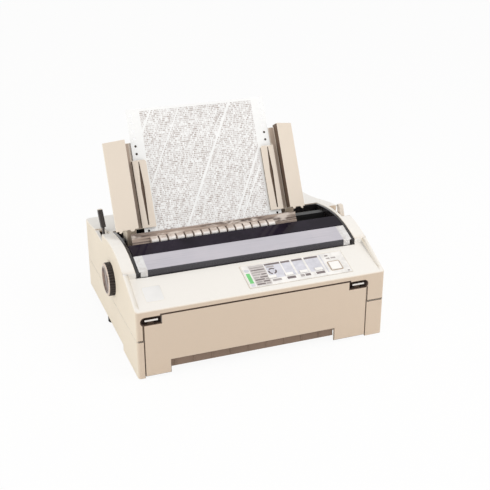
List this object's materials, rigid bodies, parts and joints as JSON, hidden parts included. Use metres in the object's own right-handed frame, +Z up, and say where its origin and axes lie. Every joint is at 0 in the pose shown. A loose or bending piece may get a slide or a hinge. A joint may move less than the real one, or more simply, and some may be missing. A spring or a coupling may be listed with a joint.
{
  "type": "dot matrix printer",
  "caption": "Desktop impact printer with tractor-fed continuous form, hinged smoked cover, front door, edge guides, platen knob and working feed and carriage drives.",
  "frame": {"origin": "on the surface it stands on, below the middle of the whole printer with its knob", "axes": "+X to the user's right along the platen, +Y from the front to the rear, +Z up"},
  "size_m": [0.429, 0.342, 0.3541],
  "materials": {
    "case_plastic": "fine textured moulded plastic, warm cream",
    "door_plastic": "fine textured moulded plastic, beige",
    "smoked_plastic": "clear smoked plastic, polished",
    "dark_plastic": "dark moulded plastic",
    "knob_plastic": "brown-grey ribbed plastic",
    "lever_plastic": "dark plastic",
    "latch_plastic": "light plastic",
    "panel_film": "printed overlay film, satin",
    "button_plastic": "off-white plastic",
    "comb_plastic": "cream plastic",
    "brown_plastic": "smoked brown plastic",
    "circuit_board": "green laminate with parts",
    "sheet_steel": "zinc plated sheet",
    "shaft_steel": "ground steel",
    "gear_nylon": "natural nylon",
    "platen_rubber": "ground black rubber",
    "soft_rubber": "moulded rubber",
    "motor_metal": "black motor case",
    "pinion_brass": "brass",
    "ribbon_cloth": "inked nylon ribbon",
    "form_paper": "white form paper",
    "core_metal": "varnished laminations"
  },
  "bodies": {
    "root": {"lower_case": "case_plastic", "upper_case": "case_plastic", "opening_liner": "dark_plastic", "panel_inlay": "panel_film", "panel_board": "circuit_board", "base_plate": "sheet_steel", "side_frame_left": "sheet_steel", "side_frame_right": "sheet_steel", "paper_chute": "dark_plastic", "platen_bushings": "gear_nylon", "feed_motor": "motor_metal", "tractor_rod": "shaft_steel", "carriage_rod": "shaft_steel", "ribbon_cartridge": "dark_plastic", "ribbon": "ribbon_cloth", "drive_belt": "soft_rubber", "carriage_motor": "motor_metal", "exit_comb": "comb_plastic", "tear_bar": "brown_plastic", "paper_guide": "dark_plastic", "main_board": "circuit_board", "power_unit": "core_metal", "mains_inlet": "dark_plastic", "interface_connector": "sheet_steel", "rubber_feet": "soft_rubber", "case_screws": "shaft_steel"},
    "front_door": {"front_door": "door_plastic"},
    "door_latch_left": {"door_latch_left": "latch_plastic"},
    "door_latch_right": {"door_latch_right": "latch_plastic"},
    "printer_cover": {"printer_cover": "smoked_plastic"},
    "font_button": {"font_button": "button_plastic"},
    "pitch_button": {"pitch_button": "button_plastic"},
    "line_feed_button": {"line_feed_button": "button_plastic"},
    "pause_button": {"pause_button": "button_plastic"},
    "power_key": {"power_key": "button_plastic"},
    "platen": {"platen": "platen_rubber", "platen_shaft": "shaft_steel", "platen_knob": "knob_plastic", "platen_gear": "gear_nylon"},
    "feed_idler": {"feed_idler_gear": "gear_nylon"},
    "tractor_idler": {"tractor_idler_gear": "gear_nylon"},
    "feed_pinion": {"feed_pinion": "pinion_brass"},
    "front_pinch": {"front_pinch_roller": "soft_rubber"},
    "rear_pinch": {"rear_pinch_roller": "soft_rubber"},
    "tractor_drive": {"tractor_shaft": "shaft_steel", "tractor_gear": "gear_nylon"},
    "tractor_left": {"tractor_left": "dark_plastic"},
    "tractor_right": {"tractor_right": "dark_plastic"},
    "tractor_lid_left": {"tractor_lid_left": "comb_plastic"},
    "tractor_lid_right": {"tractor_lid_right": "comb_plastic"},
    "carriage": {"carriage": "dark_plastic", "print_head": "motor_metal"},
    "drive_pulley": {"drive_pulley": "pinion_brass"},
    "idler_pulley": {"idler_pulley": "gear_nylon"},
    "ribbon_knob": {"ribbon_knob": "knob_plastic"},
    "release_lever": {"release_lever": "lever_plastic"},
    "gap_lever": {"gap_lever": "lever_plastic"},
    "edge_guide_left": {"edge_guide_left": "case_plastic"},
    "edge_guide_right": {"edge_guide_right": "case_plastic"},
    "paper_sheet": {"paper_sheet": "form_paper"}
  },
  "joints": [
    {"name": "front_door_hinge", "type": "hinge", "parent": "root", "child": "front_door", "pos_m": [-0.0045, -0.163, 0.0115], "axis": [1, 0, 0], "range_deg": [0, 90]},
    {"name": "door_latch_left_slide", "type": "slide", "parent": "front_door", "child": "door_latch_left", "axis": [0, 0, 1], "range_m": [-0.003, 0], "stiffness_N_per_m": 250},
    {"name": "door_latch_right_slide", "type": "slide", "parent": "front_door", "child": "door_latch_right", "axis": [0, 0, 1], "range_m": [-0.003, 0], "stiffness_N_per_m": 250},
    {"name": "printer_cover_hinge", "type": "hinge", "parent": "root", "child": "printer_cover", "pos_m": [0.0055, -0.0355, 0.15954], "axis": [-1, 0, 0], "range_deg": [0, 85]},
    {"name": "font_button_press", "type": "slide", "parent": "root", "child": "font_button", "axis": [0, 0.306, -0.952], "range_m": [0, 0.001], "stiffness_N_per_m": 600},
    {"name": "pitch_button_press", "type": "slide", "parent": "root", "child": "pitch_button", "axis": [0, 0.306, -0.952], "range_m": [0, 0.001], "stiffness_N_per_m": 600},
    {"name": "line_feed_button_press", "type": "slide", "parent": "root", "child": "line_feed_button", "axis": [0, 0.306, -0.952], "range_m": [0, 0.001], "stiffness_N_per_m": 600},
    {"name": "pause_button_press", "type": "slide", "parent": "root", "child": "pause_button", "axis": [0, 0.306, -0.952], "range_m": [0, 0.001], "stiffness_N_per_m": 600},
    {"name": "power_key_press", "type": "slide", "parent": "root", "child": "power_key", "axis": [0, 0.306, -0.952], "range_m": [0, 0.001], "stiffness_N_per_m": 600},
    {"name": "platen_spin", "type": "hinge", "parent": "root", "child": "platen", "pos_m": [-0.0215, -0.021, 0.106], "axis": [1, 0, 0], "continuous": true},
    {"name": "feed_idler_spin", "type": "hinge", "parent": "root", "child": "feed_idler", "pos_m": [0.1315, 0.01148, 0.08725], "axis": [1, 0, 0], "continuous": true},
    {"name": "feed_pinion_spin", "type": "hinge", "parent": "root", "child": "feed_pinion", "pos_m": [0.1315, 0.02273, 0.06776], "axis": [1, 0, 0], "continuous": true},
    {"name": "tractor_idler_spin", "type": "hinge", "parent": "root", "child": "tractor_idler", "pos_m": [0.1315, 0.01296, 0.11939], "axis": [1, 0, 0], "continuous": true},
    {"name": "tractor_shaft_spin", "type": "hinge", "parent": "root", "child": "tractor_drive", "pos_m": [-0.0215, 0.041, 0.112], "axis": [1, 0, 0], "continuous": true},
    {"name": "front_pinch_spin", "type": "hinge", "parent": "root", "child": "front_pinch", "pos_m": [-0.0215, -0.0332, 0.08487], "axis": [1, 0, 0], "continuous": true},
    {"name": "rear_pinch_spin", "type": "hinge", "parent": "root", "child": "rear_pinch", "pos_m": [-0.0215, -0.0088, 0.08487], "axis": [1, 0, 0], "continuous": true},
    {"name": "tractor_left_slide", "type": "slide", "parent": "root", "child": "tractor_left", "axis": [1, 0, 0], "range_m": [-0.008, 0.06]},
    {"name": "tractor_right_slide", "type": "slide", "parent": "root", "child": "tractor_right", "axis": [1, 0, 0], "range_m": [-0.06, 0.008]},
    {"name": "tractor_lid_left_hinge", "type": "hinge", "parent": "tractor_left", "child": "tractor_lid_left", "pos_m": [-0.14465, 0.041, 0.1276], "axis": [0, -1, 0], "range_deg": [0, 100]},
    {"name": "tractor_lid_right_hinge", "type": "hinge", "parent": "tractor_right", "child": "tractor_lid_right", "pos_m": [0.10165, 0.041, 0.1276], "axis": [0, 1, 0], "range_deg": [0, 100]},
    {"name": "carriage_slide", "type": "slide", "parent": "root", "child": "carriage", "axis": [1, 0, 0], "range_m": [0, 0.2]},
    {"name": "drive_pulley_spin", "type": "hinge", "parent": "root", "child": "drive_pulley", "pos_m": [0.1115, -0.0985, 0.068], "axis": [0, 1, 0], "range_deg": [0, 1550]},
    {"name": "idler_pulley_spin", "type": "hinge", "parent": "root", "child": "idler_pulley", "pos_m": [-0.1545, -0.0985, 0.068], "axis": [0, 1, 0], "range_deg": [0, 1550]},
    {"name": "ribbon_knob_spin", "type": "hinge", "parent": "root", "child": "ribbon_knob", "pos_m": [-0.1175, -0.083, 0.125], "axis": [0, 0, 1], "continuous": true},
    {"name": "release_lever_turn", "type": "hinge", "parent": "root", "child": "release_lever", "pos_m": [-0.1945, 0.061, 0.084], "axis": [1, 0, 0], "range_deg": [-8, 8]},
    {"name": "gap_lever_turn", "type": "hinge", "parent": "root", "child": "gap_lever", "pos_m": [0.2055, -0.073, 0.084], "axis": [1, 0, 0], "range_deg": [-4, 8]},
    {"name": "edge_guide_left_slide", "type": "slide", "parent": "root", "child": "edge_guide_left", "axis": [-1, 0, 0], "range_m": [0, 0.008]},
    {"name": "edge_guide_right_slide", "type": "slide", "parent": "root", "child": "edge_guide_right", "axis": [1, 0, 0], "range_m": [0, 0.008]},
    {"name": "paper_sheet_feed", "type": "slide", "parent": "root", "child": "paper_sheet", "axis": [0, 0.454, 0.891], "range_m": [0, 0.15]}
  ],
  "couplings": [
    {"joint": "feed_idler_spin", "follows": "platen_spin", "ratio": -1.5},
    {"joint": "feed_pinion_spin", "follows": "platen_spin", "ratio": 3},
    {"joint": "tractor_idler_spin", "follows": "platen_spin", "ratio": -1.6071},
    {"joint": "tractor_shaft_spin", "follows": "platen_spin", "ratio": 1.5},
    {"joint": "front_pinch_spin", "follows": "platen_spin", "ratio": -3},
    {"joint": "rear_pinch_spin", "follows": "platen_spin", "ratio": -3},
    {"joint": "drive_pulley_spin", "follows": "carriage_slide", "rad_per_m": 135.14},
    {"joint": "idler_pulley_spin", "follows": "carriage_slide", "rad_per_m": 135.14}
  ]
}
